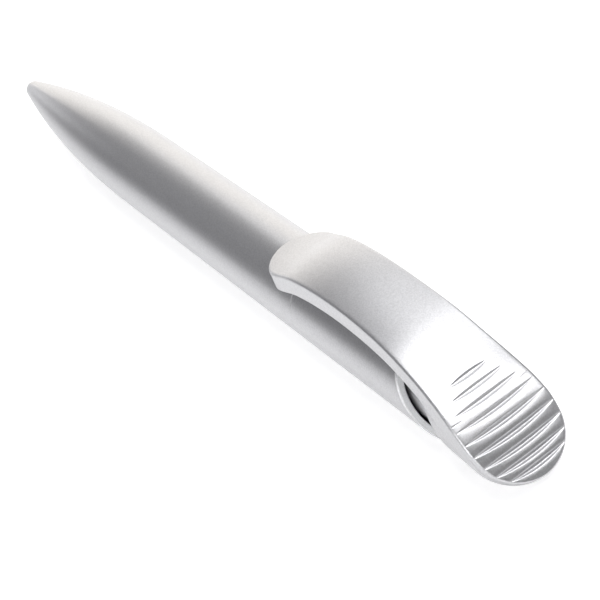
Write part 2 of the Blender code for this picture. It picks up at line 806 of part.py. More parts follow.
def make_ink_column():
    start_x = holder_flange_x + holder_flange_length + holder_spigot_length + touch_gap
    end_x = start_x + (refill_end_x - start_x) * ink_share
    radius = tube_radius - tube_wall - fit_clearance
    item = turned("ink_column", ((end_x, 0), (end_x, radius), (start_x, radius), (start_x, 0)), small_sides)
    item.data.materials.append(finish("blue_ink", (0.02, 0.04, 0.22), 0.0, 0.25))
    return item


def set_on_ground(pieces):
    """One empty carries the pen, so that its box is centred on the origin and stands on the ground."""
    bpy.context.view_layer.update()
    corners = [piece.matrix_world @ vert.co for piece in pieces for vert in piece.data.vertices]
    low = [min(corner[axis] for corner in corners) for axis in range(3)]
    high = [max(corner[axis] for corner in corners) for axis in range(3)]
    stand = add_object("pen_axis", None, pen)
    for piece in pieces:
        piece.parent = stand
    stand.location = (-(low[0] + high[0]) / 2, 0, -low[2])
    return stand


pieces = [
    make_front_barrel(),
    make_rear_barrel(),
    make_guide_sleeve(),
    make_cam_sleeve(),
    make_button_stem(),
    make_clip_button(),
    make_return_spring(),
    make_writing_ball(),
    make_writing_tip(),
    make_tip_holder(),
    make_refill_tube(),
    make_ink_column(),
]
for piece in pieces:
    piece.data.shade_smooth()
    piece.data.set_sharp_from_angle(angle=sharp_angle)
set_on_ground(pieces)
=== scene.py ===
"""Satin silver push-button ballpoint pen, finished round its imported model. Lengths are in metres."""
import math

import bmesh
import bpy
import numpy as np
from mathutils import Matrix, Vector


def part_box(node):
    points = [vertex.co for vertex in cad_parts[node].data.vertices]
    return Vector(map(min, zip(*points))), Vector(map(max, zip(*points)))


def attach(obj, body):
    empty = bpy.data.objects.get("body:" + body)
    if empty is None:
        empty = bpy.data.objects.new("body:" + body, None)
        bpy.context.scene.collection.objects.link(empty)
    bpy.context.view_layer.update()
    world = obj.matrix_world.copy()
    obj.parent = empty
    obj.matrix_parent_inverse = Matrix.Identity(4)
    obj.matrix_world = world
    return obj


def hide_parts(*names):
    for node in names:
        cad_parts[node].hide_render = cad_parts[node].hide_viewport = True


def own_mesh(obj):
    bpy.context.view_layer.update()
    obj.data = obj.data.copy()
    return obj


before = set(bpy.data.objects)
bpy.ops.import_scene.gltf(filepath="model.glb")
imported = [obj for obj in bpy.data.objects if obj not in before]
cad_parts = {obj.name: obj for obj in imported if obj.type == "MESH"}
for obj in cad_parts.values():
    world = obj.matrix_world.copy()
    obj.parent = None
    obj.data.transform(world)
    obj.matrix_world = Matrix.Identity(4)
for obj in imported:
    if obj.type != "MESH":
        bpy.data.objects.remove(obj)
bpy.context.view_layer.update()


# Front barrel: an injection-moulded ABS shell, lacquered silver, that runs from the seam to the nose
# in one long ogive. Its mouth lets only the tip's neck through, and a spigot behind the seam screws
# into the rear barrel.

barrel_low, barrel_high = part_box("front_barrel")
rear_low, rear_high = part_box("rear_barrel")
nose_x = barrel_low[0]
axis_z = (barrel_low[2] + barrel_high[2]) / 2
barrel_radius = (barrel_high[2] - barrel_low[2]) / 2
barrel_wall = 0.0009
nose_length = 0.045
nose_end_radius = 0.00135
nose_power = 2.1
nose_edge = 0.0003
nose_wall = 0.00105
mouth_radius = 0.00095
mouth_length = 0.0022
mouth_step = 0.0003
tip_bore = 0.0013
chamber_radius = 0.0022
seat_x = 0.00886
chamber_end_x = 0.016
spigot_wall = 0.0008
spigot_root = 0.005
spigot_clearance = 0.00015
edge_chamfer = 0.00002
seam_gap = 0.0002
rear_front_x = rear_low[0] - nose_x
seam_x = rear_front_x - seam_gap
spigot_end_x = barrel_high[0] - nose_x
shell_sides = 144
ogive_rings = 60
ogive_crowding = 1.6
nose_edge_rings = 6
chamber_rings = 12
merge_distance = 1e-7


def linear(code):
    """An sRGB hex colour as linear light."""
    values = [int(code[place:place + 2], 16) / 255 for place in (0, 2, 4)]
    return [v / 12.92 if v <= 0.04045 else ((v + 0.055) / 1.055) ** 2.4 for v in values] + [1.0]


def add_node(owner, kind, settings=(), links=()):
    """Add a node, set its sockets and properties, and link (socket, node, output) into it."""
    node = owner.node_tree.nodes.new(kind)
    for name, value in dict(settings).items():
        if name in node.inputs:
            node.inputs[name].default_value = value
        else:
            setattr(node, name, value)
    for name, source, output in links:
        owner.node_tree.links.new(source.outputs[output], node.inputs[name])
    return node


def plastic(name, colour, roughness, metallic=0.0):
    """A Principled material and its shader."""
    material = bpy.data.materials.new(name)
    material.use_nodes = True
    shader = material.node_tree.nodes["Principled BSDF"]
    shader.inputs["Base Color"].default_value = linear(colour)
    shader.inputs["Roughness"].default_value = roughness
    shader.inputs["Metallic"].default_value = metallic
    return material, shader


def vary_gloss(material, shader, low, high, source, output):
    """Let a pattern move the roughness between two values."""
    gloss = add_node(material, "ShaderNodeMapRange", {"To Min": low, "To Max": high},
                     [("Value", source, output)])
    material.node_tree.links.new(gloss.outputs["Result"], shader.inputs["Roughness"])


def roughen(material, shader, strength, distance, source, output):
    """Let a pattern raise the surface a little."""
    raised = add_node(material, "ShaderNodeBump", {"Strength": strength, "Distance": distance},
                      [("Height", source, output)])
    material.node_tree.links.new(raised.outputs["Normal"], shader.inputs["Normal"])


# Silver metallic lacquer on ABS: aluminium flakes under a satin varnish. The eye gets soft wide
# highlights and a fine sparkle. Real flakes are 0.03 mm across and are drawn coarser, to show.
flake_size = 0.00012
flake_gloss_spread = 0.05
orange_peel_size = 0.0009
orange_peel_depth = 0.00002
orange_peel_strength = 0.12


def silver_lacquer(name, light, dark, roughness, metallic=0.9):
    """Silver lacquer whose flakes range between two tones."""
    material, shader = plastic(name, light, roughness, metallic)
    place = add_node(material, "ShaderNodeTexCoord")
    flakes = add_node(material, "ShaderNodeTexVoronoi", {"Scale": 1 / flake_size},
                      [("Vector", place, "Object")])
    spread = add_node(material, "ShaderNodeSeparateColor", links=[("Color", flakes, "Color")])
    tone = add_node(material, "ShaderNodeValToRGB", links=[("Fac", spread, "Red")])
    tone.color_ramp.elements[0].color = linear(dark)
    tone.color_ramp.elements[1].color = linear(light)
    material.node_tree.links.new(tone.outputs["Color"], shader.inputs["Base Color"])
    vary_gloss(material, shader, roughness - flake_gloss_spread, roughness + flake_gloss_spread,
               spread, "Green")
    peel = add_node(material, "ShaderNodeTexNoise", {"Scale": 1 / orange_peel_size, "Detail": 2.0},
                    [("Vector", place, "Object")])
    roughen(material, shader, orange_peel_strength, orange_peel_depth, peel, "Fac")
    return material


barrel_lacquer = silver_lacquer("silver_lacquer_barrel", "C9C9CB", "B9B9BB", 0.35)


def nose_radius(x):
    """Outer radius of the barrel at a distance from the writing end."""
    share = max(0.0, 1 - x / nose_length)
    return barrel_radius - (barrel_radius - nose_end_radius) * share ** nose_power


def spun(profile, closed=True):
    """A bmesh turned about the pen's axis from (x, radius) points counted from the writing end."""
    bm = bmesh.new()
    points = [bm.verts.new((nose_x + x, 0, axis_z + radius)) for x, radius in profile]
    for here, there in zip(points, points[1:]):
        bm.edges.new((here, there))
    if closed:
        bm.edges.new((points[-1], points[0]))
    bmesh.ops.spin(bm, geom=list(bm.verts) + list(bm.edges), cent=(0, 0, axis_z), axis=(1, 0, 0),
                   angle=math.tau, steps=shell_sides, use_merge=True)
    bmesh.ops.remove_doubles(bm, verts=bm.verts, dist=merge_distance)
    bmesh.ops.recalc_face_normals(bm, faces=bm.faces)
    return bm


def piece_from(bm, name, material, body, sharp=40):
    """Finish a bmesh as a smooth-shaded piece that rides on a body."""
    mesh = bpy.data.meshes.new(name)
    bm.to_mesh(mesh)
    bm.free()
    mesh.shade_smooth()
    mesh.set_sharp_from_angle(angle=math.radians(sharp))
    mesh.materials.append(material)
    piece = bpy.data.objects.new(name, mesh)
    bpy.context.scene.collection.objects.link(piece)
    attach(piece, body)
    return piece


steps = np.linspace(1, 0, ogive_rings)[:-1] ** ogive_crowding
outer = [(seam_x, barrel_radius - edge_chamfer), (seam_x - edge_chamfer, barrel_radius)]
outer += [(nose_length * share, nose_radius(nose_length * share)) for share in steps
          if nose_length * share > nose_edge]
for turn in np.linspace(0, math.pi / 2, nose_edge_rings):
    outer.append((nose_edge * (1 - math.sin(turn)),
                  nose_radius(nose_edge) - nose_edge * (1 - math.cos(turn))))
inner = [(0, mouth_radius + edge_chamfer), (edge_chamfer, mouth_radius), (mouth_length, mouth_radius),
         (mouth_length + mouth_step, tip_bore), (seat_x, tip_bore), (seat_x, chamber_radius)]
inner += [(x, nose_radius(x) - nose_wall)
          for x in np.linspace(chamber_end_x, nose_length, chamber_rings)]
spigot_radius = barrel_radius - barrel_wall - spigot_clearance
shoulder_x = seam_x - spigot_root
inner += [(shoulder_x, barrel_radius - nose_wall), (shoulder_x, spigot_radius - spigot_wall),
          (spigot_end_x, spigot_radius - spigot_wall), (spigot_end_x, spigot_radius),
          (seam_x, spigot_radius)]
front_shell = piece_from(spun(outer + inner), "nose_shell", barrel_lacquer, "front")
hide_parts("front_barrel")


# Rear barrel: an injection-moulded ABS tube, lacquered like the front one. Its mouth is cut off
# obliquely, so that the thumb button can sink into it, and has a small chamfer that catches the light.

rim_tilt = math.radians(37.1)
rim_chamfer = 0.00016
rim_inner_round = 0.00012
lip_gap = 0.00004
cut_distance = 1e-8
cut_face_cosine = 0.999
bore_radius = barrel_radius - barrel_wall
rim_x = rear_high[0] - nose_x - math.tan(rim_tilt) * barrel_radius
rim_normal = Vector((math.cos(rim_tilt), 0, math.sin(rim_tilt)))


def oblique_cut(bm, x_on_axis, keep_front):
    """Cut a turned shell along the oblique plane that crosses the axis at x_on_axis."""
    point = Vector((nose_x + x_on_axis, 0, axis_z))
    everything = list(bm.verts) + list(bm.edges) + list(bm.faces)
    bmesh.ops.bisect_plane(bm, geom=everything, dist=cut_distance, plane_co=point,
                           plane_no=rim_normal, clear_outer=keep_front, clear_inner=not keep_front)
    return [edge for edge in bm.edges if edge.is_boundary], point


def on_cut(edge, point):
    """Whether an edge lies in the oblique plane through a point."""
    return all(abs((vert.co - point).dot(rim_normal)) < merge_distance for vert in edge.verts)


def off_axis(edge):
    """Distance of the nearer end of an edge from the pen's axis."""
    return min(math.hypot(vert.co.y, vert.co.z - axis_z) for vert in edge.verts)


def rounded(bm, edges, width, segments):
    """Round edges off, or chamfer them with a single segment."""
    bmesh.ops.bevel(bm, geom=edges, offset=width, offset_type="OFFSET", segments=segments, profile=0.5,
                    affect="EDGES", material=-1, clamp_overlap=True)


back_x = rim_x + barrel_radius
lip_x = seam_x + lip_gap
tube = spun([(back_x, barrel_radius), (lip_x + edge_chamfer, barrel_radius),
             (lip_x, barrel_radius - edge_chamfer), (lip_x, bore_radius), (back_x, bore_radius)])
lips, rim_point = oblique_cut(tube, rim_x, keep_front=True)
bmesh.ops.bridge_loops(tube, edges=lips)
middle = (barrel_radius + bore_radius) / 2


def lip_edges(outside):
    """The edges of the cut face at its outer or its inner lip."""
    on_lips = [edge for edge in tube.edges if on_cut(edge, rim_point)
               and len({round(face.normal.dot(rim_normal), 3) for face in edge.link_faces}) > 1]
    return [edge for edge in on_lips if (off_axis(edge) > middle) == outside]


rounded(tube, lip_edges(True), rim_chamfer, 1)
rounded(tube, lip_edges(False), rim_inner_round, 3)
bmesh.ops.recalc_face_normals(tube, faces=tube.faces)
rear_shell = piece_from(tube, "rear_shell", barrel_lacquer, "barrel", sharp=28)
# The lacquer lies thin and dry on the cut face, which looks matt beside the satin outside. Its two tones
# are also painted far lighter than the barrel's, as painted light on the cut face, which the blade above
# keeps in shade.
dry_lacquer_painted_light = silver_lacquer("silver_lacquer_dry_painted_light", "F2F3F4", "E8E9EA", 0.60, 0.05)
rear_shell.data.materials.append(dry_lacquer_painted_light)
# Faces in the cut plane take that matt lacquer with its painted light
for face in rear_shell.data.polygons:
    if face.normal.dot(rim_normal) > cut_face_cosine:
        face.material_index = 1
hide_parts("rear_barrel")


# Clip and thumb button: one lacquered moulding that slides in the rear barrel by its neck. Its wide
# blade arches from the barrel, carries nine lens-shaped grooves with soft ridges between them, and
# ends as the rounded face of the button.

clip_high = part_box("clip_button")[1]
head_front_radius = 0.0055
head_radius = 0.0058
head_length = 0.00695
head_front_round = 0.00025
dome_depth = 0.0061
tail_share = 0.836
clip_length = 0.05125
clip_rise = 0.00441
clip_crown = 0.00035
clip_side_height = 0.0022
clip_side_flare = 0.0002
clip_core = 0.0012
clip_tip_length = 0.0056
clip_edge_round = 0.0003
clip_gap = 0.0003
saddle = barrel_radius + clip_gap
tongue_overrun = 0.0003
clip_back_x = clip_high[0] - nose_x + tongue_overrun
clip_front_x = clip_back_x - clip_length
dome_x = clip_back_x - tail_share * dome_depth
head_front_x = dome_x - head_length
# The blade's line from its tip to the button: shares of its length, the barrel's radius and its rise
clip_line_shares = (
    (0.000, 1.00, 0.11), (0.0585, 1.00, 0.245), (0.120, 1.00, 0.43), (0.2074, 1.00, 0.75),
    (0.3149, 1.00, 0.945), (0.4242, 1.00, 1.00), (0.5391, 1.00, 0.925), (0.6464, 1.00, 0.725),
    (0.7444, 1.00, 0.33), (0.8318, 0.80, 0.09), (0.8964, 0.42, 0.00), (0.9411, -0.09, 0.00),
    (0.9762, -0.52, 0.00), (1.000, -0.83, 0.00),
)
# Half widths along the blade, as shares of its length and of the head's radius
clip_width_shares = (
    (0.00, 0.785), (0.05, 0.803), (0.24, 0.795), (0.43, 0.784), (0.582, 0.799), (0.7245, 0.851),
    (0.81, 0.911), (0.8764, 0.978), (0.9239, 1.000), (1.00, 1.000),
)
line_points = 1600
width_points = 400
first_groove_share = 0.7971
groove_pitch = 0.00159
groove_depth = 0.00024
groove_half_width = 0.00036
groove_end_share = 0.25
groove_bow = 0.0003
# The nine grooves from the tip's side on: places in pitches, half lengths as shares of the head's
# radius, depths as shares, and where across its width each is deepest
groove_places = (0.0, 1.0, 2.0, 3.0, 4.0, 5.0, 6.0, 6.93, 7.72)
groove_half_shares = (0.45, 0.60, 0.73, 0.88, 0.93, 0.96, 0.93, 0.84, 0.66)
groove_depth_shares = (0.66, 0.70, 0.78, 0.90, 1.0, 1.0, 1.0, 1.0, 1.0)
groove_deepest = (-0.45, -0.42, -0.38, -0.2, 0.0, 0.0, 0.0, 0.0, 0.0)
# Shape of a groove's two walls, the one towards the tip first, and of its pointed ends
entry_power = 1.9
exit_power = 1.25
lens_power = 0.6
ridge_round = 0.00013
tick_place = 2.45
tick_length = 0.0014
tick_half_width = 0.00009
tick_depth = 0.00004

clip_lacquer = silver_lacquer("silver_lacquer_clip", "CBCBCD", "BBBBBD", 0.37)


def smooth_line(knots, places):
    """Catmull-Rom curve through the knots at fractional places."""
    knots = np.array(knots, dtype=float)
    padded = np.vstack((2 * knots[0] - knots[1], knots, 2 * knots[-1] - knots[-2]))
    index = np.minimum(places.astype(int), len(knots) - 2)
    t = (places - index)[:, None]
    a, b, c, d = (padded[index + shift] for shift in range(4))
    return 0.5 * (2 * b + (c - a) * t + (2 * a - 5 * b + 4 * c - d) * t ** 2
                  + (3 * b - a - 3 * c + d) * t ** 3)


line = smooth_line([(clip_front_x + clip_length * along, barrel_radius * radius + clip_rise * rise)
                    for along, radius, rise in clip_line_shares],
                   np.linspace(0, len(clip_line_shares) - 1, line_points))
line_x, line_z = line[:, 0], line[:, 1]
line_s = np.concatenate(([0], np.cumsum(np.hypot(np.diff(line_x), np.diff(line_z)))))
run = np.gradient(line, axis=0)
run /= np.linalg.norm(run, axis=1)[:, None]
width_at = smooth_line(clip_width_shares, np.linspace(0, len(clip_width_shares) - 1, width_points))


def head_width(x):
    """Half width of the round head seen from above."""
    inside = np.clip((x - dome_x) / dome_depth, 0, 1)
    along = np.clip((x - head_front_x) / head_length, 0, 1)
    return (head_front_radius + (head_radius - head_front_radius) * along) * np.sqrt(1 - inside ** 2)


line_width = head_radius * np.interp((line_x - clip_front_x) / clip_length,
                                     width_at[:, 0], width_at[:, 1])
plain_width = line_width.copy()
dome = head_width(line_x)
below = np.sqrt(np.maximum(dome ** 2 - np.minimum(line_z, 0) ** 2, 0))
line_width = np.where(line_x > dome_x, np.minimum(line_width, below), line_width)
end = int(np.argmax((line_x > dome_x) & (below <= 0))) or len(line_x) - 1
tongue_s = line_s[end]
tip_share = np.clip(1 - line_s / clip_tip_length, 0, 1)
line_width = line_width * np.sqrt(1 - tip_share ** 2)

groove_start = float(np.interp(clip_front_x + first_groove_share * clip_length, line_x, line_s))
ridged_from = groove_start - groove_pitch
ridged_to = groove_start + groove_pitch * len(groove_half_shares)
tongue_length = 0.0012
# Rows of the blade's grid, close together on the grooves and towards both ends
tip_count, blade_count, ridge_count, tongue_count = 22, 70, 290, 26
tip_rows = clip_tip_length * (1 - np.cos(np.linspace(0, math.pi / 2, tip_count)))
blade_rows = np.linspace(clip_tip_length, ridged_from, blade_count)[1:]
ridge_rows = np.linspace(ridged_from, min(ridged_to, tongue_s - tongue_length), ridge_count)[1:]
tongue_turns = np.linspace(0, math.pi / 2, tongue_count)[1:]
tongue_rows = tongue_s - (tongue_s - ridge_rows[-1]) * np.cos(tongue_turns)
rows = np.concatenate((tip_rows, blade_rows, ridge_rows, tongue_rows))
fillet_points = 6
fillet_turns = np.linspace(math.pi / 2, 0, fillet_points)
fillet_steps = clip_edge_round * (1 - np.sin(fillet_turns))
steps_in = fillet_points - 1
inner_columns = 34
columns = 2 * steps_in + inner_columns
levels = 6
squeeze_from = 3
least_half = 1e-6
outline_reach = 0.0012
halvings = 16


def roll(s, y, lift):
    """Place of a point s along the blade, y across it and lift above its line."""
    x = np.interp(s, line_s, line_x)
    z = np.interp(s, line_s, line_z)
    run_x = np.interp(s, line_s, run[:, 0])
    run_z = np.interp(s, line_s, run[:, 1])
    return Vector((nose_x + x - run_z * lift, y, axis_z + z + run_x * lift))


def outline_gap(s, y):
    """Distance from a point of the upper face to the face's outline, both laid flat."""
    near = np.flatnonzero((abs(line_s - s) < outline_reach) & (line_s <= tongue_s))
    corners = np.column_stack((line_s[near], line_width[near]))
    sides = np.diff(corners, axis=0)
    off = np.array((s, abs(y))) - corners[:-1]
    along = np.clip((off * sides).sum(axis=1) / (sides ** 2).sum(axis=1), 0, 1)
    return float(np.linalg.norm(off - along[:, None] * sides, axis=1).min())


def relief(s, y, half):
    """Depth of the grooves, of the soft hollows beside their ridges and of the two ticks."""
    place = (s - groove_start) / groove_pitch
    index = min(range(len(groove_places)), key=lambda each: abs(groove_places[each] - place))
    place += index - groove_places[index]
    drop = 0.0
    if abs(place - index) < 0.5:
        reach = groove_half_shares[index] * head_radius
        lens = max(0.0, 1 - (y / reach) ** 2)
        half_width = groove_half_width * (groove_end_share + (1 - groove_end_share) * lens)
        across = (place - index) * groove_pitch / half_width
        if abs(across) < 1 and lens > 0:
            deepest = groove_deepest[index]
            if across < deepest:
                wall = 1 - ((deepest - across) / (1 + deepest)) ** entry_power
            else:
                wall = (1 - ((across - deepest) / (1 - deepest)) ** 2) ** exit_power
            drop += groove_depth * groove_depth_shares[index] * lens ** lens_power * wall
        swell = abs(place - index) * 2
        drop += ridge_round * groove_depth_shares[index] * lens * (1 - swell) ** 2
    from_tick = abs(place - tick_place) * groove_pitch
    if from_tick < tick_half_width and abs(y) > half - tick_length:
        drop += tick_depth * (1 - from_tick / tick_half_width)
    return drop


def deepest_lift(s, y, lift):
    """The lift, or a smaller one where the barrel under the blade's front end is in the way."""
    def clear(tried):
        """Whether a place at this lift keeps off the barrel."""
        place = roll(s, y, tried)
        return place.x > nose_x + spigot_end_x or math.hypot(place.y, place.z - axis_z) >= saddle
    if clear(lift):
        return lift
    low, high = 0.0, lift
    for _ in range(halvings):
        half_way = (low + high) / 2
        low, high = (half_way, high) if clear(half_way) else (low, half_way)
    return low


# Level 0 is the upper face, 1 to 3 go down the side wall, and 4 to 6 turn in under the blade
wall_shares = {1: 0.12, 2: 0.5, 3: 1.0}
under_shares = {4: 0.80, 5: 0.62, 6: 0.62}
under_lifts = {4: -clip_side_height, 5: -clip_core, 6: -clip_core}
under_front, under_back = 0.0013, 0.003
# Near the head the wall flows into the dome, and sinks a little into it
skirt_top, skirt_end = 0.0030, -0.0005
skirt_sink = 0.005
dome_centre = Vector((nose_x + dome_x, 0, axis_z))


def off_middle(column, half):
    """Distance of a column of the grid from the blade's middle, with the outer ones in the fillet."""
    squeeze = min(1.0, half / (squeeze_from * clip_edge_round))
    near_edge = min(column, columns - column)
    if near_edge <= steps_in:
        sign = 1 if column > columns / 2 else -1
        return sign * max(0.0, half - float(fillet_steps[int(round(near_edge))]) * squeeze)
    inside = (column - steps_in) / inner_columns * 2 - 1
    return inside * (half - clip_edge_round * squeeze)


def upper_place(s, y, half, plain):
    """A place on the upper face, with its crown, its rounded edge and its grooves."""
    bow = 0.0
    if ridged_from < s < ridged_to and half > 0:
        fade = min(1.0, (s - ridged_from) / groove_pitch, (ridged_to - s) / groove_pitch)
        bow = groove_bow * (1 - (y / half) ** 2) * max(0.0, fade)
    gap = min(clip_edge_round, outline_gap(s, y))
    drop = clip_edge_round - math.sqrt(clip_edge_round ** 2 - (clip_edge_round - gap) ** 2)
    carved = relief(s, y, half) * gap / clip_edge_round
    return roll(s + bow, y, clip_crown * (1 - (y / plain) ** 2) - drop - carved)


def wall_place(s, y, half, plain, share):
    """A place a share of the way down the side wall, or on the dome where the wall flows into it."""
    x = float(np.interp(s, line_s, line_x))
    y_low = y * (1 + clip_side_flare * half / plain / max(half, least_half) * share)
    bottom = deepest_lift(s, y_low, -clip_side_height)
    place = roll(s, y_low, -clip_edge_round * (1 - share) + bottom * share)
    merged = min(1.0, max(0.0, (x - head_front_x) / (dome_x - head_front_x)))
    target = Vector((nose_x + x, math.copysign(float(head_width(x)), y), axis_z))
    from_centre = place - dome_centre
    size = math.sqrt((from_centre.x / dome_depth) ** 2
                     + (from_centre.y ** 2 + from_centre.z ** 2) / head_radius ** 2)
    on_dome = dome_centre + from_centre / size * (1 - skirt_sink * share)
    height = float(np.interp(s, line_s, line_z))
    sunk = min(1.0, max(0.0, (skirt_top - height) / (skirt_top - skirt_end)))
    return place.lerp(target, merged * share).lerp(on_dome, sunk * sunk * (3 - 2 * sunk))


def under_place(s, y, level):
    """A place on the underside, narrower than the blade and short of its ends."""
    y_under = y * under_shares[level]
    inner_s = min(max(s, under_front), tongue_s - under_back)
    return roll(inner_s, y_under, deepest_lift(inner_s, y_under, under_lifts[level]))


# Each point of a flat grid carries its row, column and level as layers, and then goes to its place
grid = bmesh.new()
bmesh.ops.create_grid(grid, x_segments=len(rows) - 1, y_segments=columns, size=1.0)
mark = grid.verts.layers.float.new("row")
side = grid.verts.layers.float.new("column")
depth = grid.verts.layers.float.new("level")
for vert in grid.verts:
    vert[mark] = round((vert.co.x + 1) / 2 * (len(rows) - 1))
    vert[side] = round((vert.co.y + 1) / 2 * columns)
    vert[depth] = levels
lifted = bmesh.ops.extrude_face_region(grid, geom=list(grid.faces))
for item in lifted["geom"]:
    if isinstance(item, bmesh.types.BMVert):
        item[depth] = 0
walls = [edge for edge in grid.edges if abs(edge.verts[0][depth] - edge.verts[1][depth]) > 0.5]
bmesh.ops.subdivide_edges(grid, edges=walls, cuts=levels - 1, use_grid_fill=True)
for vert in grid.verts:
    s = float(rows[int(round(vert[mark]))])
    level = int(round(vert[depth]))
    half = float(np.interp(s, line_s, line_width))
    plain = float(np.interp(s, line_s, plain_width))
    y = off_middle(vert[side], half)
    if level == 0:
        vert.co = upper_place(s, y, half, plain)
    elif level in wall_shares:
        vert.co = wall_place(s, y, half, plain, wall_shares[level])
    else:
        vert.co = under_place(s, y, level)
bmesh.ops.remove_doubles(grid, verts=grid.verts, dist=merge_distance)
bmesh.ops.recalc_face_normals(grid, faces=grid.faces)
clip_blade = piece_from(grid, "clip_blade", clip_lacquer, "button", sharp=50)

# Head: a round body with a domed end. It is trimmed just under the blade, which closes it on top.
dome_rings = 30
trim_inset = 0.0007
trim_shares = (0.60, 0.68, 0.76, 0.83, 0.88, 0.92, 0.96, 0.99)
front_edge_share = 0.9
head_profile = [(dome_x + dome_depth * math.sin(angle), head_radius * math.cos(angle))
                for angle in np.linspace(math.pi / 2, 0, dome_rings)]
head_profile[0] = (dome_x + dome_depth, 0)
head_profile += [(head_front_x, head_front_radius), (head_front_x - head_radius, head_front_radius),
                 (head_front_x - head_radius, 0)]
head = spun(head_profile, closed=False)
lips, head_point = oblique_cut(head, head_front_x, keep_front=False)
bmesh.ops.contextual_create(head, geom=lips)
for share in trim_shares:
    s = float(np.interp(clip_front_x + share * clip_length, line_x, line_s))
    place = roll(s, 0, -trim_inset)
    normal = roll(s, 0, 1.0) - roll(s, 0, 0.0)
    everything = list(head.verts) + list(head.edges) + list(head.faces)
    bmesh.ops.bisect_plane(head, geom=everything, dist=cut_distance, plane_co=place, plane_no=normal,
                           clear_outer=True)
    bmesh.ops.contextual_create(head, geom=[edge for edge in head.edges if edge.is_boundary])
front_edges = [edge for edge in head.edges
               if on_cut(edge, head_point) and off_axis(edge) > head_front_radius * front_edge_share]
rounded(head, front_edges, head_front_round, 4)
bmesh.ops.recalc_face_normals(head, faces=head.faces)
button_head = piece_from(head, "button_head", clip_lacquer, "button")

# Neck: the part of the moulding that slides in the rear barrel's bore, hollow round the stem
neck_gap = 0.0003
neck_radius = bore_radius - neck_gap
neck_bore = 0.00325
neck_length = 0.0083
neck_overlap = 0.0006
neck_chamfer = 0.0002
neck_front_x = head_front_x - neck_length
neck_back_x = head_front_x + barrel_radius
neck = spun([(neck_back_x, neck_radius), (neck_front_x + neck_chamfer, neck_radius),
             (neck_front_x, neck_radius - neck_chamfer), (neck_front_x, neck_bore),
             (neck_back_x, neck_bore)])
lips, _ = oblique_cut(neck, head_front_x + neck_overlap, keep_front=True)
bmesh.ops.bridge_loops(neck, edges=lips)
bmesh.ops.recalc_face_normals(neck, faces=neck.faces)
button_neck = piece_from(neck, "button_neck", clip_lacquer, "button")
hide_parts("clip_button")
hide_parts("clip_button")
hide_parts("clip_button")


# Inner pieces: the stem that sinks into the rear barrel, its guide and cam in plain acetal, and the
# refill with its tube, ink, blue holder, turned tip and hard metal ball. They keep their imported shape.

# Plain mouldings: the eye gets a soft, faintly cloudy sheen with no sparkle
moulding_grain = 0.0004
moulding_gloss_spread = 0.06
moulding_relief = 0.00001
moulding_strength = 0.1
# Turned and drawn metal: the eye gets narrow highlights that fine rings break up
turned_line_gap = 0.00005
drawn_line_gap = 0.0001
smoother_line, rougher_line = 0.08, 0.1


def moulded(name, colour, roughness):
    """Unpainted moulded plastic with the faint cloudiness of its mould's finish."""
    material, shader = plastic(name, colour, roughness)
    place = add_node(material, "ShaderNodeTexCoord")
    cloud = add_node(material, "ShaderNodeTexNoise", {"Scale": 1 / moulding_grain, "Detail": 3.0},
                     [("Vector", place, "Object")])
    vary_gloss(material, shader, roughness - moulding_gloss_spread, roughness + moulding_gloss_spread,
               cloud, "Fac")
    roughen(material, shader, moulding_strength, moulding_relief, cloud, "Fac")
    return material


def drawn_metal(name, colour, roughness, line_gap):
    """Turned or drawn metal with fine marks round the pen's axis."""
    material, shader = plastic(name, colour, roughness, metallic=1.0)
    place = add_node(material, "ShaderNodeTexCoord")
    across = add_node(material, "ShaderNodeMapping", {"Scale": (1 / line_gap, 1.0, 1.0)},
                      [("Vector", place, "Object")])
    marks = add_node(material, "ShaderNodeTexNoise", {"Scale": 1.0, "Detail": 2.0},
                     [("Vector", across, "Vector")])
    vary_gloss(material, shader, roughness - smoother_line, roughness + rougher_line, marks, "Fac")
    return material


inner_looks = {
    "button_stem": moulded("acetal_stem_grey", "C6C7C9", 0.42),
    "guide_sleeve": moulded("acetal_guide", "D8D8D4", 0.45),
    "cam_sleeve": moulded("acetal_cam", "E6E6E2", 0.40),
    "refill_tube": moulded("polypropylene_tube", "CDD2DA", 0.32),
    "tip_holder": moulded("holder_moulding_blue", "2A3F8C", 0.38),
    "ink_column": moulded("ink_paste_blue", "141C55", 0.25),
    "writing_tip": drawn_metal("nickel_silver_turned", "B9AE96", 0.26, turned_line_gap),
    "writing_ball": drawn_metal("tungsten_carbide_ball", "8A8B8E", 0.14, turned_line_gap),
}
for node, look in inner_looks.items():
    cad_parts[node].data.materials[0] = look


# Return spring: drawn steel wire wound on a mandrel, with its end turns closed. It stands on the seat
# in the nose, and shortens towards it as the button is pressed.

spring_low, spring_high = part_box("return_spring")
wire_radius = 0.0002
spring_turns = 11
spring_closed_turns = 0.1
spring_closed_share = 0.06
wire_points = 36
wire_sides = 10
coil_radius = spring_high[1] - wire_radius
coil_turns = np.linspace(0, 1, spring_turns * wire_points + 1)
coil_x = np.interp(coil_turns, (0, spring_closed_turns, 1 - spring_closed_turns, 1),
                   (0, spring_closed_share, 1 - spring_closed_share, 1))
coil_x = spring_low[0] + wire_radius + coil_x * (spring_high[0] - spring_low[0] - 2 * wire_radius)
coil = bmesh.new()
rings = []
for x, turn in zip(coil_x, coil_turns * spring_turns * math.tau):
    ring = []
    for side_turn in np.arange(wire_sides) / wire_sides * math.tau:
        reach = coil_radius + wire_radius * math.cos(side_turn)
        ring.append(coil.verts.new((x + wire_radius * math.sin(side_turn), reach * math.cos(turn),
                                    axis_z + reach * math.sin(turn))))
    rings.append(ring)
for ring, following in zip(rings, rings[1:]):
    for index in range(wire_sides):
        beside = (index + 1) % wire_sides
        coil.faces.new((ring[index], ring[beside], following[beside], following[index]))
coil.faces.new(rings[0])
coil.faces.new(rings[-1])
bmesh.ops.recalc_face_normals(coil, faces=coil.faces)
